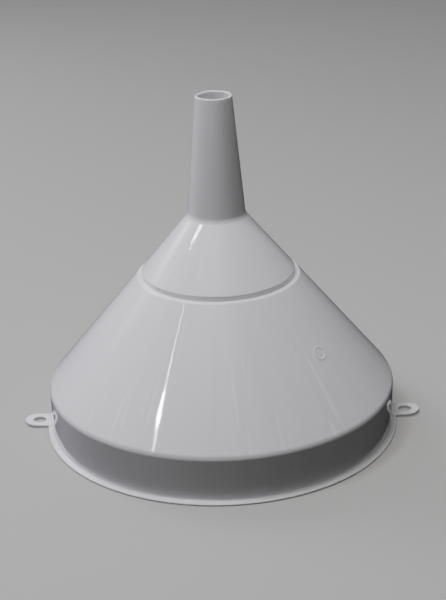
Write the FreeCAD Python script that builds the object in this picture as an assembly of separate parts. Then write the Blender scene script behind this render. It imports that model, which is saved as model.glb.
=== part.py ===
import FreeCAD, Part
import math
import os

# Large two-piece filter funnel, standing upside down on its rim.
# Millimetres. +Z up, origin at the centre of the rim's flat face, eyelets on +X and -X.

# ---- Rim flange ----
rim_radius = 150.0
rim_flange_width = 4.6
rim_flange_thickness = 2.0
rim_edge_round = 0.8
rim_root_fillet = 1.8

# ---- Eyelets on the rim flange ----
eyelet_hole_radius = 5.5
eyelet_hole_offset = 8.2
eyelet_width = 21.8
eyelet_tip_reach = 20.5
eyelet_thickness = 1.8
eyelet_rise = 0.3

# ---- Bowl: collar, cone and the step at its small end ----
wall = 2.4
collar_height = 39.8
collar_lean = 0.8
shoulder_round = 7.0
cone_half_angle = 39.55
step_radius = 67.6
step_width = 4.2
step_round = 1.6

# ---- Neck ring, which the stem section drops over ----
neck_height = 3.5
neck_thickness = 3.5
neck_edge_round = 0.4

# ---- Stem section: rim, upper cone and stem ----
stem_rim_height = 4.2
stem_rim_round = 1.2
stem_base_radius = 23.9
stem_length = 99.0
stem_tip_radius = 15.0
stem_root_fillet = 8.0
stem_tip_round = 0.6
foot_edge_round = 0.3

# ---- Filter stack, clamped between the neck ring and the stem section ----
seal_thickness = 1.0
disc_thickness = 0.3
plate_thickness = 3.0
plate_rim_width = 5.0
plate_edge_round = 0.3
perforation_radius = 1.5
perforation_pitch = 7.5

# ---- Fits ----
neck_clearance = 0.1
seal_clearance = 0.3
seal_squeeze_gap = 0.1
plate_clearance = 0.3
disc_clearance = 0.5

# ---- Sizes that follow from the ones above ----
cone_slope = math.tan(math.radians(cone_half_angle))
cone_wall_radial = wall / math.cos(math.radians(cone_half_angle))
collar_foot_radius = rim_radius - rim_flange_width
shoulder_radius = collar_foot_radius + collar_lean
step_height = collar_height + (shoulder_radius - step_radius) / cone_slope
stem_rim_radius = step_radius - step_width
stem_rim_bore = stem_rim_radius - wall
neck_radius = stem_rim_bore - neck_clearance
neck_bore_radius = neck_radius - neck_thickness
neck_top = step_height + neck_height
seal_top = neck_top + seal_thickness
disc_top = seal_top + disc_thickness
plate_top = disc_top + plate_thickness
stem_ledge_height = seal_top + seal_squeeze_gap
upper_cone_start = step_height + stem_rim_height
stem_base_height = upper_cone_start + (stem_rim_radius - stem_base_radius) / cone_slope
total_height = stem_base_height + stem_length


def lower_cone_inside(height):
    """Inner radius of the bowl's cone at a height."""
    return shoulder_radius - (height - collar_height) * cone_slope - cone_wall_radial


def upper_cone_inside(height):
    """Inner radius of the stem section's cone at a height."""
    return stem_rim_radius - (height - upper_cone_start) * cone_slope - cone_wall_radial


def crossing(radius_a, slope_a, radius_b, slope_b):
    """Where two lines radius + slope * height cross, as (radius, height)."""
    height = (radius_b - radius_a) / (slope_a - slope_b)
    return radius_a + slope_a * height, height


def towards(start, end):
    """Unit vector from start to end in the (radius, height) plane."""
    dr = end[0] - start[0]
    dz = end[1] - start[1]
    length = math.hypot(dr, dz)
    return dr / length, dz / length


def rounded_profile(corners):
    """Closed face in the XZ plane from (radius, height, rounding) corners."""
    starts = []
    ends = []
    middles = []
    for i, (r, z, rounding) in enumerate(corners):
        before = towards((r, z), corners[i - 1])
        after = towards((r, z), corners[(i + 1) % len(corners)])
        half_turn = math.acos(before[0] * after[0] + before[1] * after[1]) / 2
        reach = rounding / math.tan(half_turn)
        middle = towards((0, 0), (before[0] + after[0], before[1] + after[1]))
        depth = rounding / math.sin(half_turn) - rounding
        starts.append(FreeCAD.Vector(r + before[0] * reach, 0, z + before[1] * reach))
        middles.append(FreeCAD.Vector(r + middle[0] * depth, 0, z + middle[1] * depth))
        ends.append(FreeCAD.Vector(r + after[0] * reach, 0, z + after[1] * reach))
    edges = []
    for i, corner in enumerate(corners):
        edges.append(Part.LineSegment(ends[i - 1], starts[i]).toShape())
        if corner[2] > 0:
            edges.append(Part.Arc(starts[i], middles[i], ends[i]).toShape())
    return Part.Face(Part.Wire(edges))


def turned(corners):
    """Solid of revolution about Z from (radius, height, rounding) corners."""
    face = rounded_profile(corners)
    return face.revolve(FreeCAD.Vector(0, 0, 0), FreeCAD.Vector(0, 0, 1), 360)


def flat_ring(inner_radius, outer_radius, bottom, thickness):
    """Plain ring with square edges."""
    foot = FreeCAD.Vector(0, 0, bottom)
    ring = Part.makeCylinder(outer_radius, thickness, foot)
    return ring.cut(Part.makeCylinder(inner_radius, thickness, foot))


def eyelet(side):
    """Flat tab with a round end and a hole, on one side of the rim flange."""
    root = collar_foot_radius - wall / 2
    end_centre = rim_radius + eyelet_tip_reach - eyelet_width / 2
    corner = FreeCAD.Vector(root, -eyelet_width / 2, eyelet_rise)
    tab = Part.makeBox(end_centre - root, eyelet_width, eyelet_thickness, corner)
    middle = FreeCAD.Vector(end_centre, 0, eyelet_rise)
    shape = tab.fuse(Part.makeCylinder(eyelet_width / 2, eyelet_thickness, middle))
    if side < 0:
        shape.rotate(FreeCAD.Vector(0, 0, 0), FreeCAD.Vector(0, 0, 1), 180)
    return shape


def eyelet_hole(side):
    """Cutter for the hole in one eyelet."""
    centre = FreeCAD.Vector(side * (rim_radius + eyelet_hole_offset), 0, eyelet_rise)
    return Part.makeCylinder(eyelet_hole_radius, eyelet_thickness, centre)


def bowl():
    """Collar, cone, flat step and neck ring, with the rim flange and eyelets."""
    collar_slope = collar_lean / (collar_height - rim_flange_thickness)
    collar_inside = collar_foot_radius - rim_flange_thickness * collar_slope - wall
    cone_inside = lower_cone_inside(0)
    shoulder_inside = crossing(collar_inside, collar_slope, cone_inside, -cone_slope)
    step_inside = step_height - wall
    shell = turned([
        (collar_inside, 0, rim_edge_round),
        (rim_radius, 0, rim_edge_round),
        (rim_radius, rim_flange_thickness, rim_edge_round),
        (collar_foot_radius, rim_flange_thickness, rim_root_fillet),
        (shoulder_radius, collar_height, shoulder_round),
        (step_radius, step_height, step_round),
        (neck_radius, step_height, 0),
        (neck_radius, neck_top, neck_edge_round),
        (neck_bore_radius, neck_top, neck_edge_round),
        (neck_bore_radius, step_inside, neck_edge_round),
        (lower_cone_inside(step_inside), step_inside, wall / 2),
        (shoulder_inside[0], shoulder_inside[1], shoulder_round - wall),
    ])
    body = shell.fuse([eyelet(1), eyelet(-1)])
    return body.cut([eyelet_hole(1), eyelet_hole(-1)]).removeSplitter()


def stem_section():
    """Rim that drops over the neck ring, upper cone and tapered stem."""
    stem_slope = (stem_base_radius - stem_tip_radius) / stem_length
    stem_wall_radial = wall * math.hypot(1, stem_slope)
    stem_inside = stem_base_radius + stem_slope * stem_base_height - stem_wall_radial
    root_inside = crossing(upper_cone_inside(0), -cone_slope, stem_inside, -stem_slope)
    return turned([
        (stem_rim_bore, step_height, foot_edge_round),
        (stem_rim_radius, step_height, foot_edge_round),
        (stem_rim_radius, upper_cone_start, stem_rim_round),
        (stem_base_radius, stem_base_height, stem_root_fillet),
        (stem_tip_radius, total_height, stem_tip_round),
        (stem_tip_radius - stem_wall_radial, total_height, stem_tip_round),
        (root_inside[0], root_inside[1], stem_root_fillet + wall),
        (upper_cone_inside(stem_ledge_height), stem_ledge_height, foot_edge_round),
        (stem_rim_bore, stem_ledge_height, 0),
    ])


def section_seal():
    """Soft flat ring on the end of the neck ring."""
    return flat_ring(neck_bore_radius, neck_radius - seal_clearance, neck_top, seal_thickness)


def filter_disc():
    """Round sheet of filter medium that covers the perforated plate."""
    radius = upper_cone_inside(disc_top) - disc_clearance
    return Part.makeCylinder(radius, disc_thickness, FreeCAD.Vector(0, 0, seal_top))


def perforations():
    """Cutters for the plate's holes, in rings of six times the ring's number."""
    limit = neck_bore_radius - plate_rim_width
    rings = int(limit / perforation_pitch)
    cutters = []
    for ring in range(rings + 1):
        count = max(1, 6 * ring)
        for i in range(count):
            angle = 2 * math.pi * i / count
            x = ring * perforation_pitch * math.cos(angle)
            y = ring * perforation_pitch * math.sin(angle)
            centre = FreeCAD.Vector(x, y, disc_top)
            cutters.append(Part.makeCylinder(perforation_radius, plate_thickness, centre))
    return cutters


def filter_plate():
    """Perforated plate with a bevelled edge that seats in the upper cone."""
    edge_gap = plate_clearance / math.cos(math.radians(cone_half_angle))
    bottom_radius = upper_cone_inside(disc_top) - edge_gap
    top_radius = upper_cone_inside(plate_top) - edge_gap
    blank = turned([
        (0, disc_top, 0),
        (bottom_radius, disc_top, plate_edge_round),
        (top_radius, plate_top, plate_edge_round),
        (0, plate_top, 0),
    ])
    return blank.cut(perforations())


os.makedirs("parts", exist_ok=True)
pieces = {
    "bowl": bowl(),
    "stem_section": stem_section(),
    "section_seal": section_seal(),
    "filter_disc": filter_disc(),
    "filter_plate": filter_plate(),
}
for name, shape in pieces.items():
    solids = shape.Solids
    if len(solids) != 1 or not solids[0].isValid():
        raise ValueError(name + " is not one valid solid")
    solids[0].exportStep("parts/" + name + ".step")
    print(name, round(solids[0].Volume / 1000, 2), "cm3", solids[0].BoundBox)
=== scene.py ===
import math

import bmesh
import bpy
from bpy.props import FloatProperty, FloatVectorProperty, IntProperty, PointerProperty
from mathutils import Matrix, Vector


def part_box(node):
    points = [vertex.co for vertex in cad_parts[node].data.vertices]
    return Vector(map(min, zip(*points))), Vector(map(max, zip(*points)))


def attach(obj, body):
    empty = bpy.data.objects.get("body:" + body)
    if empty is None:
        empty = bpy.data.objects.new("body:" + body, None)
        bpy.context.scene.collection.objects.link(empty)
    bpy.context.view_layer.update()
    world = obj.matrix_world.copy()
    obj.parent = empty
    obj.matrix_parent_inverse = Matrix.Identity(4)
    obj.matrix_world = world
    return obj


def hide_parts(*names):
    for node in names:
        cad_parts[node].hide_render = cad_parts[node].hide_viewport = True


bl_info = {
    "name": "Two-piece filter funnel",
    "version": (1, 0, 0),
    "blender": (4, 5, 0),
    "location": "3D View > Sidebar > Funnel",
    "description": "Builds a large moulded filter funnel around its engineering model",
    "category": "Object",
}

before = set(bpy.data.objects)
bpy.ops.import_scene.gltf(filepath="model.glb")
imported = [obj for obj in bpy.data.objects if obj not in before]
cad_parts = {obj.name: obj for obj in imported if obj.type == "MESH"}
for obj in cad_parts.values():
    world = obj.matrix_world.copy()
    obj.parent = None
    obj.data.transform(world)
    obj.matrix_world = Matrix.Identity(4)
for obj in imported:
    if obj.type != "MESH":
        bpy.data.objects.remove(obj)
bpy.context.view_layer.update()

MM = 0.001
BOWL_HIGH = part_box("bowl")[1]
STEM_LOW, STEM_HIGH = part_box("stem_section")
SEAL_LOW, SEAL_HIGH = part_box("section_seal")
PAPER_LOW, PAPER_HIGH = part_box("filter_disc")

# Points nearer than this to a place count as being there.
SAME_PLACE = 0.01 * MM

# Bowl: roundings and fit
RIM_EDGE_ROUND = 0.8 * MM
RIM_ROOT_FILLET = 1.8 * MM
STEP_ROUND = 1.6 * MM
NECK_EDGE_ROUND = 0.4 * MM
NECK_CLEARANCE = 0.1 * MM

# Stem section: roundings and fit
FOOT_EDGE_ROUND = 0.3 * MM
STEM_RIM_ROUND = 1.2 * MM
STEM_ROOT_FILLET = 8.0 * MM
STEM_TIP_ROUND = 0.6 * MM
SEAL_SQUEEZE_GAP = 0.1 * MM

# Eyelets: how they sit on the rim flange, and how far each has bent upwards
EYELET_RISE = 0.3 * MM
EYELET_BEVEL = 0.45 * MM
EYELET_SEGMENTS = 72
RIGHT_EYELET_TILT = math.radians(4.5)
LEFT_EYELET_TILT = math.radians(2.5)

# Raised ring on the cone
MARK_BEARING = math.radians(-41)
MARK_HEIGHT = 90.0 * MM
MARK_INNER_RADIUS = 4.7 * MM
MARK_WIDENING = 1.25
MARK_DEPTH = 0.6 * MM
MARK_RISE = 0.45 * MM
MARK_BEVEL = 0.2 * MM
MARK_SEGMENTS = 48

# Stem's mouth, trimmed by hand: bearings in degrees, and how far down the trimming is felt
NICK_START = 128
NICK_END = 160
NICK_BAND = 0.5 * MM
NICK_PULL = (0.1 * MM, -0.1 * MM, -0.45 * MM)
NICK_SPREAD = 6.0 * MM
TRIM_BAND = 2.5 * MM
TRIM_SPREAD = 9.0 * MM
TRIM_DOWN = -0.5 * MM
TRIM_ACROSS = 0.35 * MM
TRIM_ALONG = 0.3 * MM

# Seal and filter paper
SEAL_EDGE_ROUND = 0.42 * MM
PAPER_RINGS = 36
COCKLE_SPREAD = 11.0 * MM
COCKLE_HEIGHT = 0.09 * MM

# Edges that turn by more degrees than this stay sharp.
MOULDING_SHARP_ANGLE = 32
SOFT_SHARP_ANGLE = 40

# Moulded plastic: roughness where it is glossiest, and how much it varies
GLOSS = 0.03
GLOSS_RANGE = 0.02
# Height over which the stem's painted shade fades in
PAINTED_SHADE_BLEND = 6.0 * MM

# Colours that several materials share, or that wear and light add
DUST_COLOUR = (0.60, 0.59, 0.56)
FLOW_LINE_COLOUR = (0.90, 0.90, 0.91)
PLATE_STAIN_COLOUR = (0.66, 0.65, 0.61)
SEAL_CLOUD_COLOUR = (0.38, 0.37, 0.35)
PAPER_FIBRE_COLOUR = (0.68, 0.66, 0.60)
PAPER_AGED_COLOUR = (0.70, 0.66, 0.57)
FLOOR_PATCH_COLOUR = (0.26, 0.257, 0.246)
FLOOR_UNSEEN_COLOUR = (0.02, 0.02, 0.02)
BLACK = (0.0, 0.0, 0.0)
WHITE = (1.0, 1.0, 1.0)

# Room: the floor's side in metres, its glow, and the world's light
FLOOR_SIZE = 80.0
FLOOR_GLOW = 0.55
AMBIENT_COLOUR = (0.53, 0.54, 0.51, 1.0)
AMBIENT_STRENGTH = 0.04
BACKDROP_COLOUR = (0.17, 0.168, 0.16, 1.0)

# Point that the lights aim at
AIM = Vector((0.0, 0.0, 0.12))

# Camera: sensor and lens in millimetres, and where it stands in metres
SENSOR_WIDTH = 36.0
LENS = 85.8
CAMERA_PLACE = (0, -1.1051, 0.5732)
CAMERA_TURN = math.radians(-0.17)
CAMERA_TIP = math.radians(90.0 - 22.75)
CAMERA_ROLL = math.radians(-1.59)


# ---------------------------------------------------------------- settings

class FunnelSizes(bpy.types.PropertyGroup):
    """Sizes that the engineering model's boxes don't give."""

    wall: FloatProperty(
        name="Wall", description="Thickness of both mouldings",
        default=2.4 * MM, subtype="DISTANCE", unit="LENGTH")
    flange_width: FloatProperty(
        name="Flange width", description="How far the rim flange stands out from the collar",
        default=4.6 * MM, subtype="DISTANCE", unit="LENGTH")
    flange_thickness: FloatProperty(
        name="Flange thickness", description="Thickness of the rim flange",
        default=2.0 * MM, subtype="DISTANCE", unit="LENGTH")
    collar_height: FloatProperty(
        name="Collar height", description="Height of the shoulder above the rim",
        default=39.8 * MM, subtype="DISTANCE", unit="LENGTH")
    collar_lean: FloatProperty(
        name="Collar lean", description="How much wider the collar is at the shoulder",
        default=0.8 * MM, subtype="DISTANCE", unit="LENGTH")
    shoulder_round: FloatProperty(
        name="Shoulder round", description="Outer radius between the collar and the cone",
        default=7.0 * MM, subtype="DISTANCE", unit="LENGTH")
    cone_half_angle: FloatProperty(
        name="Cone half angle", description="Angle between the cones and the axis",
        default=math.radians(39.55), subtype="ANGLE", unit="ROTATION")
    step_width: FloatProperty(
        name="Step width", description="Width of the flat step between the two mouldings",
        default=4.2 * MM, subtype="DISTANCE", unit="LENGTH")
    step_radius: FloatProperty(
        name="Step radius", description="Outer radius of the flat step",
        default=67.6 * MM, subtype="DISTANCE", unit="LENGTH")
    neck_thickness: FloatProperty(
        name="Neck thickness", description="Thickness of the neck ring",
        default=3.5 * MM, subtype="DISTANCE", unit="LENGTH")
    stem_rim_height: FloatProperty(
        name="Stem rim height", description="Height of the stem section's upright rim",
        default=4.2 * MM, subtype="DISTANCE", unit="LENGTH")
    stem_base_radius: FloatProperty(
        name="Stem base radius", description="Outer radius of the stem where it leaves the cone",
        default=23.9 * MM, subtype="DISTANCE", unit="LENGTH")
    stem_tip_radius: FloatProperty(
        name="Stem tip radius", description="Outer radius of the stem's open end",
        default=15.0 * MM, subtype="DISTANCE", unit="LENGTH")
    stem_length: FloatProperty(
        name="Stem length", description="Length of the tapered stem",
        default=99.0 * MM, subtype="DISTANCE", unit="LENGTH")
    eyelet_width: FloatProperty(
        name="Eyelet width", description="Width of each flat eyelet",
        default=21.8 * MM, subtype="DISTANCE", unit="LENGTH")
    eyelet_hole: FloatProperty(
        name="Eyelet hole radius", description="Radius of the hole in each eyelet",
        default=5.5 * MM, subtype="DISTANCE", unit="LENGTH")
    eyelet_hole_offset: FloatProperty(
        name="Eyelet hole offset", description="From the rim's edge to the hole's centre",
        default=8.2 * MM, subtype="DISTANCE", unit="LENGTH")
    eyelet_thickness: FloatProperty(
        name="Eyelet thickness", description="Thickness of each eyelet",
        default=1.8 * MM, subtype="DISTANCE", unit="LENGTH")
    seal_width: FloatProperty(
        name="Seal width", description="Width of the seal ring's section",
        default=3.2 * MM, subtype="DISTANCE", unit="LENGTH")
    paper_thickness: FloatProperty(
        name="Paper thickness", description="Thickness of the filter paper",
        default=0.2 * MM, subtype="DISTANCE", unit="LENGTH")
    segments: IntProperty(
        name="Segments", description="Facets round each turned piece", default=240, min=48, max=480)


class FunnelColours(bpy.types.PropertyGroup):
    """Colours of the funnel's pieces and of the floor."""

    plastic: FloatVectorProperty(
        name="Plastic", description="White of the moulded plastic",
        default=(0.82, 0.82, 0.835), subtype="COLOR", size=3, min=0.0, max=1.0)
    plastic_shade: FloatVectorProperty(
        name="Plastic shade", description="Slightly deeper white in the flow marks",
        default=(0.79, 0.79, 0.81), subtype="COLOR", size=3, min=0.0, max=1.0)
    # Painted shade: the stem's white is made deeper so that the upright stem looks darker than the cones.
    stem_painted_shade: FloatVectorProperty(
        name="Plastic tube", description="Deeper white of the stem, whose thin wall lets light through",
        default=(0.72, 0.72, 0.735), subtype="COLOR", size=3, min=0.0, max=1.0)
    plate: FloatVectorProperty(
        name="Plate", description="White of the perforated plate",
        default=(0.74, 0.74, 0.73), subtype="COLOR", size=3, min=0.0, max=1.0)
    seal: FloatVectorProperty(
        name="Seal", description="Grey of the soft seal ring",
        default=(0.46, 0.45, 0.43), subtype="COLOR", size=3, min=0.0, max=1.0)
    paper: FloatVectorProperty(
        name="Paper", description="Off-white of the filter paper",
        default=(0.78, 0.76, 0.70), subtype="COLOR", size=3, min=0.0, max=1.0)
    floor: FloatVectorProperty(
        name="Floor", description="Pale grey of the floor",
        default=(0.28, 0.277, 0.265), subtype="COLOR", size=3, min=0.0, max=1.0)


# ---------------------------------------------------------------- modelling helpers

def nothing_selected():
    """Leaves edit mode and deselects every object."""
    if bpy.context.object and bpy.context.object.mode != "OBJECT":
        bpy.ops.object.mode_set(mode="OBJECT")
    bpy.ops.object.select_all(action="DESELECT")


def only_selected(obj):
    """Makes one object the selected and active one."""
    nothing_selected()
    obj.select_set(True)
    bpy.context.view_layer.objects.active = obj


def place_applied(obj):
    """Moves an object's place, turn and scale into its mesh."""
    only_selected(obj)
    bpy.ops.object.transform_apply(location=True, rotation=True, scale=True)


def open_ring(name, radius, height, segments, centre_x=0.0):
    """A circle of edges that a piece is drawn out from. Leaves it in edit mode, selected."""
    nothing_selected()
    bpy.ops.mesh.primitive_circle_add(
        vertices=segments, radius=radius, fill_type="NOTHING", location=(centre_x, 0, height))
    obj = bpy.context.active_object
    obj.name = name
    obj.data.name = name
    place_applied(obj)
    bpy.ops.object.mode_set(mode="EDIT")
    bpy.ops.mesh.select_mode(type="EDGE")
    bpy.ops.mesh.select_all(action="SELECT")
    return obj


def select_edges(obj, wanted):
    """Selects the edges of a mesh in edit mode for which wanted(edge) is true."""
    bpy.ops.mesh.select_mode(type="EDGE")
    mesh = bmesh.from_edit_mesh(obj.data)
    for edge in mesh.edges:
        edge.select_set(False)
    for edge in mesh.edges:
        if wanted(edge):
            edge.select_set(True)
    bmesh.update_edit_mesh(obj.data)


def select_points(obj, wanted):
    """Selects the vertices of a mesh in edit mode for which wanted(place) is true."""
    bpy.ops.mesh.select_mode(type="VERT")
    mesh = bmesh.from_edit_mesh(obj.data)
    for vertex in mesh.verts:
        vertex.select_set(False)
    for vertex in mesh.verts:
        if wanted(vertex.co):
            vertex.select_set(True)
    mesh.select_flush(True)
    bmesh.update_edit_mesh(obj.data)


def on_ring(place, radius, height):
    """True where a point lies on the circle of that radius and height."""
    off_radius = abs(math.hypot(place.x, place.y) - radius)
    return off_radius < SAME_PLACE and abs(place.z - height) < SAME_PLACE


def ring_edges(corners):
    """A test for the edges that lie on any of the corners' circles."""
    def wanted(edge):
        a, b = edge.verts
        return any(on_ring(a.co, r, z) and on_ring(b.co, r, z) for r, z in corners)
    return wanted


def reach_of(corner, before, after, rounding):
    """Distance from a profile's corner to where its rounding begins."""
    p = Vector(corner)
    a = (Vector(before) - p).normalized()
    b = (Vector(after) - p).normalized()
    return rounding / math.tan(a.angle(b) / 2)


def turned_shell(name, profile, segments):
    """A closed turned shell, drawn out ring by ring from (radius, height, rounding, steps) corners."""
    first = profile[0]
    obj = open_ring(name, first[0], first[1], segments)
    for last, now in zip(profile, profile[1:]):
        bpy.ops.mesh.extrude_region_move(
            TRANSFORM_OT_translate={"value": (0, 0, now[1] - last[1])})
        widen = now[0] / last[0]
        bpy.ops.transform.resize(value=(widen, widen, 1), center_override=(0, 0, now[1]))
    ends = [(first[0], first[1]), (profile[-1][0], profile[-1][1])]
    select_edges(obj, ring_edges(ends))
    bpy.ops.mesh.bridge_edge_loops()
    bpy.ops.mesh.select_all(action="SELECT")
    bpy.ops.mesh.remove_doubles(threshold=SAME_PLACE / 2)
    bpy.ops.mesh.normals_make_consistent(inside=False)
    for i, (radius, height, rounding, steps) in enumerate(profile):
        if rounding > 0:
            after = profile[(i + 1) % len(profile)]
            reach = reach_of((radius, height), profile[i - 1][:2], after[:2], rounding)
            select_edges(obj, ring_edges([(radius, height)]))
            bpy.ops.mesh.bevel(
                offset=reach, segments=steps, profile=0.5, affect="EDGES", clamp_overlap=False)
    bpy.ops.object.mode_set(mode="OBJECT")
    return obj


def joined_by_union(obj, tool):
    """Fuses tool into obj as one skin, and removes tool."""
    only_selected(obj)
    union = obj.modifiers.new("Fuse", "BOOLEAN")
    union.operation = "UNION"
    union.solver = "EXACT"
    union.object = tool
    bpy.ops.object.modifier_apply(modifier=union.name)
    bpy.data.objects.remove(tool)


def cleaned(obj):
    """Merges the doubled points and dissolves the slivers that a union leaves."""
    only_selected(obj)
    bpy.ops.object.mode_set(mode="EDIT")
    bpy.ops.mesh.select_all(action="SELECT")
    bpy.ops.mesh.remove_doubles(threshold=SAME_PLACE / 2)
    bpy.ops.mesh.dissolve_degenerate(threshold=SAME_PLACE / 2)
    bpy.ops.object.mode_set(mode="OBJECT")


def smoothed(obj, sharp_angle):
    """Smooth shading that keeps flat and conical stretches true."""
    only_selected(obj)
    bpy.ops.object.shade_smooth_by_angle(angle=math.radians(sharp_angle))
    weighted = obj.modifiers.new("Weighted", "WEIGHTED_NORMAL")
    weighted.keep_sharp = True
    weighted.weight = 100
    bpy.ops.object.modifier_apply(modifier=weighted.name)


def dressed(obj, material, body, node):
    """Gives a finished piece its material, ties it to its body, and hides the engineering node that it
    replaces.
    """
    obj.data.materials.clear()
    obj.data.materials.append(material)
    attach(obj, body)
    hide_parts(node)
    nothing_selected()


# ---------------------------------------------------------------- profiles

def crossing(radius_a, slope_a, radius_b, slope_b):
    """Where two lines radius + slope * height cross, as (radius, height)."""
    height = (radius_b - radius_a) / (slope_a - slope_b)
    return radius_a + slope_a * height, height


def bowl_profile(s):
    """(radius, height, rounding, steps) corners of the bowl's wall, from the mouth outwards."""
    rim_radius = BOWL_HIGH.y
    step_height = STEM_LOW.z
    neck_top = SEAL_LOW.z
    slope = math.tan(s.cone_half_angle)
    radial_wall = s.wall / math.cos(s.cone_half_angle)
    foot = rim_radius - s.flange_width
    shoulder = foot + s.collar_lean
    collar_slope = s.collar_lean / (s.collar_height - s.flange_thickness)
    collar_inside = foot - s.flange_thickness * collar_slope - s.wall
    cone_inside = shoulder + s.collar_height * slope - radial_wall
    shoulder_inside = crossing(collar_inside, collar_slope, cone_inside, -slope)
    step_inside = step_height - s.wall
    neck_radius = s.step_radius - s.step_width - s.wall - NECK_CLEARANCE
    neck_bore = neck_radius - s.neck_thickness
    return [
        (collar_inside, 0, RIM_EDGE_ROUND, 4),
        (rim_radius, 0, RIM_EDGE_ROUND, 4),
        (rim_radius, s.flange_thickness, RIM_EDGE_ROUND, 4),
        (foot, s.flange_thickness, RIM_ROOT_FILLET, 5),
        (shoulder, s.collar_height, s.shoulder_round, 12),
        (s.step_radius, step_height, STEP_ROUND, 6),
        (neck_radius, step_height, 0, 0),
        (neck_radius, neck_top, NECK_EDGE_ROUND, 2),
        (neck_bore, neck_top, NECK_EDGE_ROUND, 2),
        (neck_bore, step_inside, NECK_EDGE_ROUND, 2),
        (cone_inside - step_inside * slope, step_inside, s.wall / 2, 4),
        (shoulder_inside[0], shoulder_inside[1], s.shoulder_round - s.wall, 8),
    ]


def stem_profile(s):
    """(radius, height, rounding, steps) corners of the stem section's wall, from its foot."""
    foot_height = STEM_LOW.z
    top = STEM_HIGH.z
    ledge = PAPER_LOW.z + SEAL_SQUEEZE_GAP
    slope = math.tan(s.cone_half_angle)
    radial_wall = s.wall / math.cos(s.cone_half_angle)
    rim = s.step_radius - s.step_width
    bore = rim - s.wall
    cone_start = foot_height + s.stem_rim_height
    stem_slope = (s.stem_base_radius - s.stem_tip_radius) / s.stem_length
    stem_base = top - s.stem_length
    stem_wall = s.wall * math.hypot(1, stem_slope)
    cone_inside = rim + cone_start * slope - radial_wall
    stem_inside = s.stem_base_radius + stem_slope * stem_base - stem_wall
    root_inside = crossing(cone_inside, -slope, stem_inside, -stem_slope)
    return [
        (bore, foot_height, FOOT_EDGE_ROUND, 2),
        (rim, foot_height, FOOT_EDGE_ROUND, 2),
        (rim, cone_start, STEM_RIM_ROUND, 6),
        (s.stem_base_radius, stem_base, STEM_ROOT_FILLET, 10),
        (s.stem_tip_radius, top, STEM_TIP_ROUND, 4),
        (s.stem_tip_radius - stem_wall, top, STEM_TIP_ROUND, 4),
        (root_inside[0], root_inside[1], STEM_ROOT_FILLET + s.wall, 8),
        (cone_inside - ledge * slope, ledge, FOOT_EDGE_ROUND, 2),
        (bore, ledge, 0, 0),
    ]


# ---------------------------------------------------------------- shader groups

def new_group(name, inputs, outputs):
    """An empty shader group with its sockets. inputs are (name, type, default)."""
    tree = bpy.data.node_groups.new(name, "ShaderNodeTree")
    for label, kind, default in inputs:
        socket = tree.interface.new_socket(name=label, in_out="INPUT", socket_type=kind)
        socket.default_value = default
    for label, kind in outputs:
        tree.interface.new_socket(name=label, in_out="OUTPUT", socket_type=kind)
    return tree, tree.nodes.new("NodeGroupInput"), tree.nodes.new("NodeGroupOutput")


def add_node(tree, kind, settings=None, inputs=None):
    """A node with its settings, and with values or links on its inputs."""
    node = tree.nodes.new(kind)
    for label, value in (settings or {}).items():
        setattr(node, label, value)
    for label, value in (inputs or {}).items():
        socket = node.inputs[label]
        if isinstance(value, bpy.types.NodeSocket):
            tree.links.new(value, socket)
        else:
            socket.default_value = value
    return node


def math_node(tree, operation, a, b=0.0):
    """A Math node's output. a and b are numbers or sockets."""
    return add_node(tree, "ShaderNodeMath", {"operation": operation}, {0: a, 1: b}).outputs[0]


def added_share(tree, base, extra, share):
    """base plus a share of extra."""
    inputs = {0: extra, 1: share, 2: base}
    return add_node(tree, "ShaderNodeMath", {"operation": "MULTIPLY_ADD"}, inputs).outputs[0]


def remapped(tree, value, low, high, to_low=0.0, to_high=1.0):
    """A Map Range node's output, clamped and eased, from low to high onto to_low to to_high."""
    settings = {"interpolation_type": "SMOOTHSTEP"}
    inputs = {"Value": value, "From Min": low, "From Max": high, "To Min": to_low, "To Max": to_high}
    return add_node(tree, "ShaderNodeMapRange", settings, inputs).outputs["Result"]


def noise(tree, vector, scale, detail=2.0, roughness=0.5, distortion=0.0):
    """A Noise Texture's value. The larger the scale, the finer the grain."""
    inputs = {"Vector": vector, "Scale": scale, "Detail": detail,
              "Roughness": roughness, "Distortion": distortion}
    return add_node(tree, "ShaderNodeTexNoise", None, inputs).outputs[0]


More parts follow.
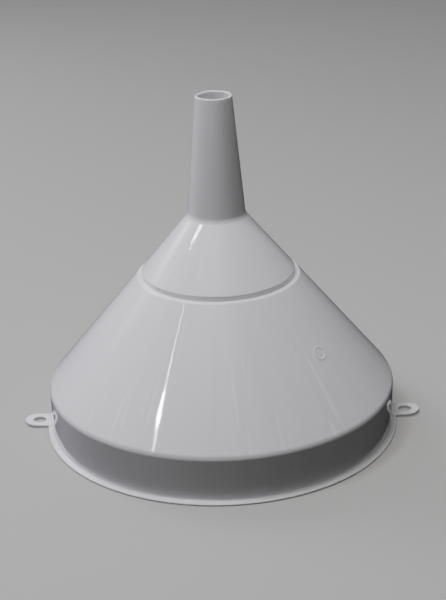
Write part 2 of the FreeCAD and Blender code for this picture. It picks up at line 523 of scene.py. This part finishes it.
def flow_marks_group():
    """Faint marks that run up a turned moulding, the way the plastic flowed."""
    tree, start, end = new_group(
        "Flow marks",
        [("Vector", "NodeSocketVector", (0, 0, 0)), ("Count", "NodeSocketFloat", 20.0),
         ("Lines above", "NodeSocketFloat", 0.0)],
        [("Mask", "NodeSocketFloat"), ("Lines", "NodeSocketFloat"), ("Height", "NodeSocketFloat")])
    parts = add_node(tree, "ShaderNodeSeparateXYZ", None, {0: start.outputs["Vector"]})
    flat = add_node(tree, "ShaderNodeCombineXYZ", None, {0: parts.outputs[0], 1: parts.outputs[1]})
    round_about = add_node(
        tree, "ShaderNodeVectorMath", {"operation": "NORMALIZE"}, {0: flat.outputs[0]})
    turn = add_node(tree, "ShaderNodeSeparateXYZ", None, {0: round_about.outputs[0]})
    # Less change up the axis than round it, so that the marks run up the moulding.
    rise = math_node(tree, "MULTIPLY", parts.outputs[2], 0.6)
    place = add_node(
        tree, "ShaderNodeCombineXYZ", None, {0: turn.outputs[0], 1: turn.outputs[1], 2: rise})
    broad = noise(tree, place.outputs[0], start.outputs["Count"], detail=3.0, roughness=0.55)
    fine_count = math_node(tree, "MULTIPLY", start.outputs["Count"], 5.0)
    fine = noise(tree, place.outputs[0], fine_count, detail=2.0, roughness=0.5)
    height = added_share(tree, broad, fine, 0.3)
    line_count = math_node(tree, "MULTIPLY", start.outputs["Count"], 2.0)
    narrow = noise(tree, place.outputs[0], line_count, detail=1.0, roughness=0.3)
    thin = remapped(tree, narrow, 0.61, 0.70)
    where = remapped(tree, noise(tree, start.outputs["Vector"], 12.0, detail=2.0), 0.46, 0.60)
    above = math_node(tree, "GREATER_THAN", parts.outputs[2], start.outputs["Lines above"])
    patchy = math_node(tree, "MULTIPLY", thin, where)
    tree.links.new(math_node(tree, "MULTIPLY", patchy, above), end.inputs["Lines"])
    tree.links.new(remapped(tree, broad, 0.42, 0.68), end.inputs["Mask"])
    tree.links.new(height, end.inputs["Height"])
    return tree


def scuffs_group():
    """Hair scratches and rubbed patches from handling."""
    tree, start, end = new_group(
        "Scuffs",
        [("Vector", "NodeSocketVector", (0, 0, 0)), ("Amount", "NodeSocketFloat", 0.5)],
        [("Mask", "NodeSocketFloat")])
    lines = []
    for angle, scale in ((0.4, 1.0), (1.9, 1.3)):
        mapping = add_node(
            tree, "ShaderNodeMapping", None,
            {"Vector": start.outputs["Vector"], "Rotation": (angle, 0.7 * angle, angle),
             "Scale": (520 * scale, 30 * scale, 30 * scale)})
        line = noise(tree, mapping.outputs[0], 1.0, detail=1.0, roughness=0.4, distortion=0.15)
        lines.append(remapped(tree, line, 0.685, 0.74))
    patch = remapped(tree, noise(tree, start.outputs["Vector"], 18.0, detail=3.0), 0.5, 0.68)
    both = math_node(tree, "MAXIMUM", lines[0], lines[1])
    rubbed = math_node(tree, "MULTIPLY", both, patch)
    amount = math_node(tree, "MULTIPLY", rubbed, start.outputs["Amount"])
    tree.links.new(amount, end.inputs["Mask"])
    return tree


def dust_group():
    """Fine dust that settles in patches, more where a surface faces up."""
    tree, start, end = new_group(
        "Settled dust",
        [("Vector", "NodeSocketVector", (0, 0, 0)), ("Amount", "NodeSocketFloat", 0.3)],
        [("Mask", "NodeSocketFloat")])
    facing = add_node(tree, "ShaderNodeNewGeometry")
    up = add_node(tree, "ShaderNodeSeparateXYZ", None, {0: facing.outputs["Normal"]})
    level = remapped(tree, up.outputs[2], 0.2, 1.0)
    cloudy = noise(tree, start.outputs["Vector"], 34.0, detail=5.0, roughness=0.65)
    patches = remapped(tree, cloudy, 0.45, 0.8)
    specks = remapped(tree, noise(tree, start.outputs["Vector"], 900.0, detail=1.0), 0.66, 0.74)
    grains = added_share(tree, patches, specks, 0.6)
    settled = math_node(tree, "MULTIPLY", grains, level)
    amount = math_node(tree, "MULTIPLY", settled, start.outputs["Amount"])
    tree.links.new(amount, end.inputs["Mask"])
    return tree


def group_node(tree, name, inputs):
    """One of the shared groups, placed in a material."""
    return add_node(tree, "ShaderNodeGroup", {"node_tree": bpy.data.node_groups[name]}, inputs)


def mixed_colour(tree, factor, a, b):
    """A colour mixed from a to b, each a socket or three numbers."""
    ends = [end if isinstance(end, bpy.types.NodeSocket) else (*end, 1.0) for end in (a, b)]
    # A Mix node keeps its colours on sockets 6 and 7, and puts the result out on socket 2.
    inputs = {"Factor": factor, 6: ends[0], 7: ends[1]}
    return add_node(tree, "ShaderNodeMix", {"data_type": "RGBA"}, inputs).outputs[2]


# ---------------------------------------------------------------- materials

def new_material(name):
    """A material with its Principled shader and the object coordinates."""
    material = bpy.data.materials.new(name)
    material.use_nodes = True
    tree = material.node_tree
    shader = tree.nodes["Principled BSDF"]
    place = tree.nodes.new("ShaderNodeTexCoord").outputs["Object"]
    return material, tree, shader, place


def bumped(tree, shader, height, strength, distance):
    """Feeds a height into the shader's normal."""
    bump = add_node(tree, "ShaderNodeBump", None,
                    {"Height": height, "Strength": strength, "Distance": distance})
    tree.links.new(bump.outputs[0], shader.inputs["Normal"])


def moulded_plastic(name, flow_count, wear, painted_shade_base):
    """Glossy white moulded plastic with flow marks, scuffs and a little dust.

    The white is made deeper above painted_shade_base, as painted shade on the stem, and flow lines show
    only above the collar.
    """
    material, tree, shader, place = new_material(name)
    colours = bpy.context.scene.funnel_colours
    collar_top = bpy.context.scene.funnel_sizes.collar_height
    flow = group_node(
        tree, "Flow marks", {"Vector": place, "Count": flow_count, "Lines above": collar_top})
    scuffs = group_node(tree, "Scuffs", {"Vector": place, "Amount": wear})
    dust = group_node(tree, "Settled dust", {"Vector": place, "Amount": 0.12})
    cloudy = remapped(tree, noise(tree, place, 9.0, detail=3.0), 0.3, 0.7, 0.25, 1.0)
    shade = math_node(tree, "MULTIPLY", flow.outputs["Mask"], cloudy)
    colour = mixed_colour(tree, shade, colours.plastic, colours.plastic_shade)
    lined = mixed_colour(tree, flow.outputs["Lines"], colour, FLOW_LINE_COLOUR)
    height_above = add_node(tree, "ShaderNodeSeparateXYZ", None, {0: place}).outputs[2]
    # Painted shade: from this height up the white turns deeper, so that the stem looks darker.
    on_painted_shade = remapped(tree, height_above, painted_shade_base, painted_shade_base + PAINTED_SHADE_BLEND)
    deeper = mixed_colour(tree, on_painted_shade, lined, colours.stem_painted_shade)
    dusty = mixed_colour(tree, dust.outputs["Mask"], deeper, DUST_COLOUR)
    tree.links.new(dusty, shader.inputs["Base Color"])
    matt = remapped(tree, noise(tree, place, 22.0, detail=3.0), 0.35, 0.7, GLOSS, GLOSS + GLOSS_RANGE)
    worn = added_share(tree, matt, scuffs.outputs["Mask"], 0.35)
    rough = added_share(tree, worn, dust.outputs["Mask"], 0.4)
    tree.links.new(rough, shader.inputs["Roughness"])
    waves = noise(tree, place, 14.0, detail=1.0)
    scratches = math_node(tree, "MULTIPLY", scuffs.outputs["Mask"], -0.05)
    relief = added_share(tree, scratches, flow.outputs["Height"], 0.05)
    bumped(tree, shader, math_node(tree, "ADD", waves, relief), strength=1.0, distance=0.35 * MM)
    shader.inputs["IOR"].default_value = 1.49
    shader.inputs["Subsurface Weight"].default_value = 0.35
    shader.inputs["Subsurface Radius"].default_value = (1.0, 0.95, 0.9)
    shader.inputs["Subsurface Scale"].default_value = 4.0 * MM
    return material


def plate_plastic(colours):
    """Satin plastic with a fine even grain, a few stains and light scuffs."""
    material, tree, shader, place = new_material("Satin plate plastic")
    scuffs = group_node(tree, "Scuffs", {"Vector": place, "Amount": 0.8})
    stain = remapped(tree, noise(tree, place, 26.0, detail=4.0, roughness=0.6), 0.4, 0.75, 0.0, 0.5)
    colour = mixed_colour(tree, stain, colours.plate, PLATE_STAIN_COLOUR)
    tree.links.new(colour, shader.inputs["Base Color"])
    grain = noise(tree, place, 1400.0, detail=2.0)
    satin = remapped(tree, grain, 0.3, 0.7, 0.38, 0.5)
    rough = added_share(tree, satin, scuffs.outputs["Mask"], 0.2)
    tree.links.new(rough, shader.inputs["Roughness"])
    bumped(tree, shader, grain, strength=0.5, distance=0.06 * MM)
    shader.inputs["Subsurface Weight"].default_value = 0.1
    shader.inputs["Subsurface Scale"].default_value = 2.0 * MM
    return material


def seal_rubber(colours):
    """Soft translucent grey rubber with clinging dust."""
    material, tree, shader, place = new_material("Seal rubber")
    dust = group_node(tree, "Settled dust", {"Vector": place, "Amount": 0.5})
    cloud = remapped(tree, noise(tree, place, 60.0, detail=3.0), 0.3, 0.7, 0.0, 0.4)
    colour = mixed_colour(tree, cloud, colours.seal, SEAL_CLOUD_COLOUR)
    dusty = mixed_colour(tree, dust.outputs["Mask"], colour, DUST_COLOUR)
    tree.links.new(dusty, shader.inputs["Base Color"])
    grain = noise(tree, place, 2200.0, detail=1.0)
    tree.links.new(remapped(tree, grain, 0.3, 0.7, 0.5, 0.66), shader.inputs["Roughness"])
    bumped(tree, shader, grain, strength=0.4, distance=0.04 * MM)
    shader.inputs["Subsurface Weight"].default_value = 0.3
    shader.inputs["Subsurface Scale"].default_value = 2.0 * MM
    return material


def felted_paper(colours):
    """Soft felted paper with short fibres and slightly yellowed patches."""
    material, tree, shader, place = new_material("Filter paper")
    fibres = []
    for angle in (0.3, 1.4, 2.5):
        mapping = add_node(
            tree, "ShaderNodeMapping", None,
            {"Vector": place, "Rotation": (0, 0, angle), "Scale": (2400, 420, 420)})
        fibres.append(noise(tree, mapping.outputs[0], 1.0, detail=2.0, roughness=0.6, distortion=0.3))
    pair = math_node(tree, "MAXIMUM", fibres[0], fibres[1])
    felt = math_node(tree, "MAXIMUM", pair, fibres[2])
    fibrous = remapped(tree, felt, 0.45, 0.75, 0.0, 0.6)
    colour = mixed_colour(tree, fibrous, colours.paper, PAPER_FIBRE_COLOUR)
    blotch = remapped(tree, noise(tree, place, 45.0, detail=4.0, roughness=0.6), 0.4, 0.8, 0.0, 0.3)
    aged = mixed_colour(tree, blotch, colour, PAPER_AGED_COLOUR)
    tree.links.new(aged, shader.inputs["Base Color"])
    tree.links.new(remapped(tree, felt, 0.4, 0.8, 0.86, 0.96), shader.inputs["Roughness"])
    bumped(tree, shader, felt, strength=0.7, distance=0.12 * MM)
    shader.inputs["Sheen Weight"].default_value = 0.15
    return material


def floor_surface(colours):
    """Almost plain floor, pale and a little aglow to the camera alone, so it hardly lights the funnel."""
    material, tree, shader, place = new_material("Pale floor")
    soft = remapped(tree, noise(tree, place, 3.0, detail=3.0), 0.3, 0.7, 0.0, 0.12)
    colour = mixed_colour(tree, soft, colours.floor, FLOOR_PATCH_COLOUR)
    seen = tree.nodes.new("ShaderNodeLightPath").outputs["Is Camera Ray"]
    shown = mixed_colour(tree, seen, FLOOR_UNSEEN_COLOUR, colour)
    glow = mixed_colour(tree, seen, BLACK, colour)
    tree.links.new(shown, shader.inputs["Base Color"])
    tree.links.new(glow, shader.inputs["Emission Color"])
    shader.inputs["Emission Strength"].default_value = FLOOR_GLOW
    shader.inputs["Roughness"].default_value = 0.9
    shader.inputs["Specular IOR Level"].default_value = 0.1
    return material


# ---------------------------------------------------------------- operators

class FUNNEL_OT_surfaces(bpy.types.Operator):
    """Make the shader groups that the funnel's materials share"""

    bl_idname = "funnel.surfaces"
    bl_label = "Shared surface effects"

    def execute(self, context):
        flow_marks_group()
        scuffs_group()
        dust_group()
        return {"FINISHED"}


def eyelet(sizes, side, tilt):
    """One flat eyelet with a round end, its root sunk in the rim flange."""
    rim_radius = BOWL_HIGH.y
    tip = BOWL_HIGH.x
    root = rim_radius - sizes.flange_width - sizes.wall / 2
    hole_centre = rim_radius + sizes.eyelet_hole_offset
    half_width = sizes.eyelet_width / 2
    end_centre = tip - half_width
    obj = open_ring("eyelet", sizes.eyelet_hole, EYELET_RISE, EYELET_SEGMENTS, hole_centre)
    bpy.ops.mesh.extrude_region_move(
        TRANSFORM_OT_translate={"value": (end_centre - hole_centre, 0, 0)})
    widen = half_width / sizes.eyelet_hole
    bpy.ops.transform.resize(value=(widen, widen, 1), center_override=(end_centre, 0, EYELET_RISE))

    def on_root_side(place):
        outer = math.hypot(place.x - end_centre, place.y) > half_width - SAME_PLACE
        return outer and place.x < end_centre - SAME_PLACE

    select_points(obj, on_root_side)
    bpy.ops.transform.resize(value=(0, 1, 1), center_override=(root, 0, EYELET_RISE))
    bpy.ops.mesh.select_all(action="SELECT")
    bpy.ops.mesh.extrude_region_move(
        TRANSFORM_OT_translate={"value": (0, 0, sizes.eyelet_thickness)})
    bpy.ops.mesh.select_all(action="SELECT")
    bpy.ops.mesh.normals_make_consistent(inside=False)
    bpy.ops.mesh.select_all(action="DESELECT")
    bpy.ops.mesh.select_mode(type="EDGE")
    bpy.ops.mesh.edges_select_sharp(sharpness=math.radians(60))
    bpy.ops.mesh.bevel(
        offset=EYELET_BEVEL, segments=3, profile=0.5, affect="EDGES", clamp_overlap=True)
    bpy.ops.object.mode_set(mode="OBJECT")
    lift = Matrix.Translation((root, 0, 0)) @ Matrix.Rotation(-tilt, 4, "Y")
    lift = lift @ Matrix.Translation((-root, 0, 0))
    obj.matrix_world = Matrix.Rotation(0 if side > 0 else math.pi, 4, "Z") @ lift
    place_applied(obj)
    return obj


def mould_mark(sizes):
    """A plain raised ring, as an insert in the mould leaves. It is drawn flat, then leant on the cone."""
    slope = math.tan(sizes.cone_half_angle)
    shoulder = BOWL_HIGH.y - sizes.flange_width + sizes.collar_lean
    radius = shoulder - (MARK_HEIGHT - sizes.collar_height) * slope
    obj = open_ring("mould_mark", MARK_INNER_RADIUS, -MARK_DEPTH, MARK_SEGMENTS)
    bpy.ops.mesh.extrude_region_move(TRANSFORM_OT_translate={"value": (0, 0, 0)})
    bpy.ops.transform.resize(
        value=(MARK_WIDENING, MARK_WIDENING, 1), center_override=(0, 0, -MARK_DEPTH))
    bpy.ops.mesh.select_all(action="SELECT")
    bpy.ops.mesh.extrude_region_move(
        TRANSFORM_OT_translate={"value": (0, 0, MARK_RISE + MARK_DEPTH)})
    bpy.ops.mesh.select_all(action="SELECT")
    bpy.ops.mesh.normals_make_consistent(inside=False)

    def on_top_rim(edge):
        above = all(vertex.co.z > 0 for vertex in edge.verts)
        return above and edge.calc_face_angle(0) > math.radians(60)

    select_edges(obj, on_top_rim)
    bpy.ops.mesh.bevel(offset=MARK_BEVEL, segments=2, profile=0.5, affect="EDGES")
    bpy.ops.object.mode_set(mode="OBJECT")
    turn = Matrix.Rotation(MARK_BEARING, 4, "Z")
    lean = Matrix.Rotation(math.pi / 2 - sizes.cone_half_angle, 4, "Y")
    obj.matrix_world = turn @ Matrix.Translation((radius, 0, MARK_HEIGHT)) @ lean
    place_applied(obj)
    return obj


class FUNNEL_OT_bowl(bpy.types.Operator):
    """Model the bowl: rim flange, eyelets, collar, cone, step and neck ring"""

    bl_idname = "funnel.bowl"
    bl_label = "Bowl"

    def execute(self, context):
        sizes = context.scene.funnel_sizes
        obj = turned_shell("bowl_moulding", bowl_profile(sizes), sizes.segments)
        joined_by_union(obj, eyelet(sizes, 1, RIGHT_EYELET_TILT))
        joined_by_union(obj, eyelet(sizes, -1, LEFT_EYELET_TILT))
        joined_by_union(obj, mould_mark(sizes))
        cleaned(obj)
        smoothed(obj, MOULDING_SHARP_ANGLE)
        material = moulded_plastic(
            "Bowl plastic", flow_count=14.0, wear=0.6, painted_shade_base=STEM_HIGH.z)
        dressed(obj, material, "bowl", "bowl")
        return {"FINISHED"}


def trimmed_by_hand(obj):
    """Makes the stem's mouth a little uneven, with a shallow nick at one side."""
    only_selected(obj)
    bpy.ops.object.mode_set(mode="EDIT")
    top = STEM_HIGH.z

    def in_nick(place):
        bearing = math.degrees(math.atan2(place.y, place.x))
        return place.z > top - NICK_BAND and NICK_START < bearing < NICK_END

    select_points(obj, in_nick)
    bpy.ops.transform.translate(
        value=NICK_PULL, use_proportional_edit=True,
        proportional_edit_falloff="SMOOTH", proportional_size=NICK_SPREAD)
    bpy.ops.object.mode_set(mode="OBJECT")
    near_tip = [vertex.index for vertex in obj.data.vertices if vertex.co.z > top - TRIM_BAND]
    obj.vertex_groups.new(name="tip").add(near_tip, 1.0, "REPLACE")
    clouds = bpy.data.textures.new("Trim", "CLOUDS")
    clouds.noise_scale = TRIM_SPREAD
    for direction, strength in (("Z", TRIM_DOWN), ("X", TRIM_ACROSS), ("Y", TRIM_ALONG)):
        push = obj.modifiers.new("Trim " + direction, "DISPLACE")
        push.texture = clouds
        push.texture_coords = "LOCAL"
        push.direction = direction
        push.strength = strength
        # Height is only ever taken away, so that the mouth stays inside the engineering model.
        push.mid_level = 0.0 if direction == "Z" else 0.5
        push.vertex_group = "tip"
        bpy.ops.object.modifier_apply(modifier=push.name)


class FUNNEL_OT_stem_section(bpy.types.Operator):
    """Model the stem section: upright rim, upper cone and tapered stem"""

    bl_idname = "funnel.stem_section"
    bl_label = "Stem section"

    def execute(self, context):
        sizes = context.scene.funnel_sizes
        obj = turned_shell("stem_moulding", stem_profile(sizes), sizes.segments)
        trimmed_by_hand(obj)
        smoothed(obj, MOULDING_SHARP_ANGLE)
        material = moulded_plastic(
            "Stem plastic", flow_count=9.0, wear=0.4, painted_shade_base=STEM_HIGH.z - sizes.stem_length)
        dressed(obj, material, "stem_section", "stem_section")
        return {"FINISHED"}


class FUNNEL_OT_seal_ring(bpy.types.Operator):
    """Model the soft flat ring between the neck and the filter paper"""

    bl_idname = "funnel.seal_ring"
    bl_label = "Seal ring"

    def execute(self, context):
        sizes = context.scene.funnel_sizes
        low, high = SEAL_LOW.z, SEAL_HIGH.z
        outer = SEAL_HIGH.x
        inner = outer - sizes.seal_width
        corners = ((inner, low), (outer, low), (outer, high), (inner, high))
        profile = [(radius, height, SEAL_EDGE_ROUND, 5) for radius, height in corners]
        obj = turned_shell("seal_ring", profile, sizes.segments)
        smoothed(obj, SOFT_SHARP_ANGLE)
        material = seal_rubber(context.scene.funnel_colours)
        dressed(obj, material, "bowl", "section_seal")
        return {"FINISHED"}


class FUNNEL_OT_filter_paper(bpy.types.Operator):
    """Model the round filter paper, a little cockled the way dry paper lies"""

    bl_idname = "funnel.filter_paper"
    bl_label = "Filter paper"

    def execute(self, context):
        sizes = context.scene.funnel_sizes
        radius = PAPER_HIGH.x
        middle = (PAPER_LOW.z + PAPER_HIGH.z) / 2
        obj = open_ring("filter_sheet", radius, middle, sizes.segments)
        for ring in range(PAPER_RINGS - 1, 0, -1):
            bpy.ops.mesh.extrude_region_move(TRANSFORM_OT_translate={"value": (0, 0, 0)})
            shrink = ring / (ring + 1)
            bpy.ops.transform.resize(value=(shrink, shrink, 1), center_override=(0, 0, middle))
        bpy.ops.mesh.edge_face_add()
        bpy.ops.mesh.select_all(action="SELECT")
        bpy.ops.mesh.normals_make_consistent(inside=False)
        bpy.ops.object.mode_set(mode="OBJECT")
        cockle = bpy.data.textures.new("Cockle", "CLOUDS")
        cockle.noise_scale = COCKLE_SPREAD
        waves = obj.modifiers.new("Cockle", "DISPLACE")
        waves.texture = cockle
        waves.texture_coords = "LOCAL"
        waves.direction = "Z"
        waves.strength = COCKLE_HEIGHT
        bpy.ops.object.modifier_apply(modifier=waves.name)
        thick = obj.modifiers.new("Thickness", "SOLIDIFY")
        thick.thickness = sizes.paper_thickness
        thick.offset = 0.0
        bpy.ops.object.modifier_apply(modifier=thick.name)
        smoothed(obj, SOFT_SHARP_ANGLE)
        material = felted_paper(context.scene.funnel_colours)
        dressed(obj, material, "filter_disc", "filter_disc")
        return {"FINISHED"}


class FUNNEL_OT_filter_plate(bpy.types.Operator):
    """Give the perforated plate its satin finish"""

    bl_idname = "funnel.filter_plate"
    bl_label = "Filter plate"

    def execute(self, context):
        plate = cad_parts["filter_plate"]
        plate.data.materials.clear()
        plate.data.materials.append(plate_plastic(context.scene.funnel_colours))
        return {"FINISHED"}


def soft_edged(light):
    """Fades a panel's glow towards its edges, so that gloss shows no hard outline of it."""
    light.use_nodes = True
    tree = light.node_tree
    across = tree.nodes.new("ShaderNodeNewGeometry").outputs["Parametric"]
    parts = add_node(tree, "ShaderNodeSeparateXYZ", None, {0: across})
    fades = []
    for part in (parts.outputs[0], parts.outputs[1]):
        from_middle = math_node(tree, "ABSOLUTE", math_node(tree, "SUBTRACT", part, 0.5))
        fades.append(remapped(tree, from_middle, 0.5, 0.1))
    fade = math_node(tree, "MULTIPLY", fades[0], fades[1])
    tree.links.new(fade, tree.nodes["Emission"].inputs["Strength"])


def area_light(name, place, size, watts, colour, mirrored):
    """A soft rectangular light that faces the aim point. mirrored is False where gloss ignores it."""
    data = bpy.data.lights.new(name, "AREA")
    data.shape = "RECTANGLE"
    data.size, data.size_y = size
    data.energy = watts
    data.color = colour
    if mirrored:
        soft_edged(data)
    obj = bpy.data.objects.new(name, data)
    bpy.context.scene.collection.objects.link(obj)
    aim = (AIM - place).to_track_quat("-Z", "Y").to_matrix().to_4x4()
    obj.matrix_world = Matrix.Translation(place) @ aim
    obj.visible_glossy = mirrored
    return obj


def around(bearing, height_angle, distance):
    """A place at two angles in degrees, and a distance in metres, from the aim point."""
    flat = distance * math.cos(math.radians(height_angle))
    x = flat * math.cos(math.radians(bearing))
    y = flat * math.sin(math.radians(bearing))
    return Vector((x, y, distance * math.sin(math.radians(height_angle)))) + AIM


def tube_light(name, start, end, width, radiance):
    """A narrow light from start to end, which shows only as a streak in the funnel's gloss."""
    middle = (start + end) / 2
    along = (end - start).normalized()
    back = (middle - AIM).normalized()
    across = along.cross(back).normalized()
    facing = across.cross(along)
    length = (end - start).length
    watts = radiance * math.pi * width * length
    obj = area_light(name, middle, (width, length), watts, WHITE, mirrored=False)
    obj.data.shape = "ELLIPSE"
    obj.visible_glossy = True
    obj.visible_diffuse = False
    turn = Matrix((across, along, facing)).transposed().to_4x4()
    obj.matrix_world = Matrix.Translation(middle) @ turn
    return obj


def dim_room():
    """A world that is pale to the camera, and lights the object only a little."""
    world = bpy.data.worlds.new("Dim room")
    world.use_nodes = True
    tree = world.node_tree
    ambient = tree.nodes["Background"]
    ambient.inputs["Color"].default_value = AMBIENT_COLOUR
    ambient.inputs["Strength"].default_value = AMBIENT_STRENGTH
    backdrop = add_node(tree, "ShaderNodeBackground", None, {"Color": BACKDROP_COLOUR})
    seen = tree.nodes.new("ShaderNodeLightPath").outputs["Is Camera Ray"]
    either = add_node(
        tree, "ShaderNodeMixShader", None,
        {0: seen, 1: ambient.outputs[0], 2: backdrop.outputs[0]})
    tree.links.new(either.outputs[0], tree.nodes["World Output"].inputs["Surface"])
    return world


def placed_camera():
    """The camera, turned to face the funnel, tipped down and rolled a little."""
    data = bpy.data.cameras.new("camera")
    data.sensor_width = SENSOR_WIDTH
    data.lens = LENS
    camera = bpy.data.objects.new("camera", data)
    bpy.context.scene.collection.objects.link(camera)
    turn = Matrix.Rotation(CAMERA_TURN, 4, "Z")
    tip = Matrix.Rotation(CAMERA_TIP, 4, "X")
    roll = Matrix.Rotation(CAMERA_ROLL, 4, "Z")
    camera.matrix_world = Matrix.Translation(CAMERA_PLACE) @ turn @ tip @ roll
    return camera


class FUNNEL_OT_stage(bpy.types.Operator):
    """Set the floor, the soft studio lights, the dim room and the camera"""

    bl_idname = "funnel.stage"
    bl_label = "Stage"

    def execute(self, context):
        nothing_selected()
        bpy.ops.mesh.primitive_plane_add(size=FLOOR_SIZE, location=(0, 0, 0))
        floor = bpy.context.active_object
        floor.name = "floor"
        floor.data.materials.append(floor_surface(context.scene.funnel_colours))
        area_light(
            "overhead", around(-104, 82, 1.1), size=(0.8, 0.8), watts=17.0,
            colour=(0.99, 0.98, 1.04), mirrored=True)
        area_light(
            "main", around(-156, 68, 1.1), size=(0.36, 0.36), watts=15.0,
            colour=(0.97, 0.96, 1.08), mirrored=True)
        area_light(
            "side", around(-170, 45, 1.5), size=(0.7, 0.7), watts=1.4,
            colour=(0.98, 0.97, 1.06), mirrored=False)
        area_light(
            "rear_left", around(140, 35, 2.0), size=(1.5, 1.5), watts=84.0,
            colour=(0.97, 0.95, 1.11), mirrored=True)
        area_light(
            "front", around(-103, 65, 2.0), size=(2.4, 1.8), watts=29.0,
            colour=(1.03, 1.02, 0.96), mirrored=True)
        area_light(
            "rear_right", around(20, 22, 1.6), size=(0.9, 0.9), watts=1.2,
            colour=(1.0, 1.0, 0.96), mirrored=False)
        tube_light(
            "tube_low", around(-148.0, 47.5, 1.55), around(-135.5, 32.5, 1.55),
            width=0.026, radiance=34.0)
        tube_light(
            "tube_glow", around(-142.6, 41.7, 1.53), around(-140.6, 39.1, 1.54),
            width=0.054, radiance=260.0)
        tube_light(
            "tube_high", around(-155.0, 51.2, 1.56), around(-174.0, 42.7, 1.56),
            width=0.020, radiance=110.0)
        context.scene.world = dim_room()
        context.scene.camera = placed_camera()
        return {"FINISHED"}


class FUNNEL_PT_panel(bpy.types.Panel):
    """The funnel's settings and steps"""

    bl_idname = "FUNNEL_PT_panel"
    bl_label = "Funnel"
    bl_space_type = "VIEW_3D"
    bl_region_type = "UI"
    bl_category = "Funnel"

    def draw(self, context):
        for step in STEPS:
            self.layout.operator(step)
        for group in (context.scene.funnel_sizes, context.scene.funnel_colours):
            for name in group.__annotations__:
                self.layout.prop(group, name)


STEPS = (
    "funnel.surfaces",
    "funnel.bowl",
    "funnel.stem_section",
    "funnel.seal_ring",
    "funnel.filter_paper",
    "funnel.filter_plate",
    "funnel.stage",
)

CLASSES = (
    FunnelSizes,
    FunnelColours,
    FUNNEL_OT_surfaces,
    FUNNEL_OT_bowl,
    FUNNEL_OT_stem_section,
    FUNNEL_OT_seal_ring,
    FUNNEL_OT_filter_paper,
    FUNNEL_OT_filter_plate,
    FUNNEL_OT_stage,
    FUNNEL_PT_panel,
)


def register():
    for item in CLASSES:
        bpy.utils.register_class(item)
    bpy.types.Scene.funnel_sizes = PointerProperty(type=FunnelSizes)
    bpy.types.Scene.funnel_colours = PointerProperty(type=FunnelColours)


def unregister():
    del bpy.types.Scene.funnel_colours
    del bpy.types.Scene.funnel_sizes
    for item in reversed(CLASSES):
        bpy.utils.unregister_class(item)


def main():
    register()
    bpy.ops.funnel.surfaces()
    bpy.ops.funnel.bowl()
    bpy.ops.funnel.stem_section()
    bpy.ops.funnel.seal_ring()
    bpy.ops.funnel.filter_paper()
    bpy.ops.funnel.filter_plate()
    bpy.ops.funnel.stage()


if __name__ == "__main__":
    main()
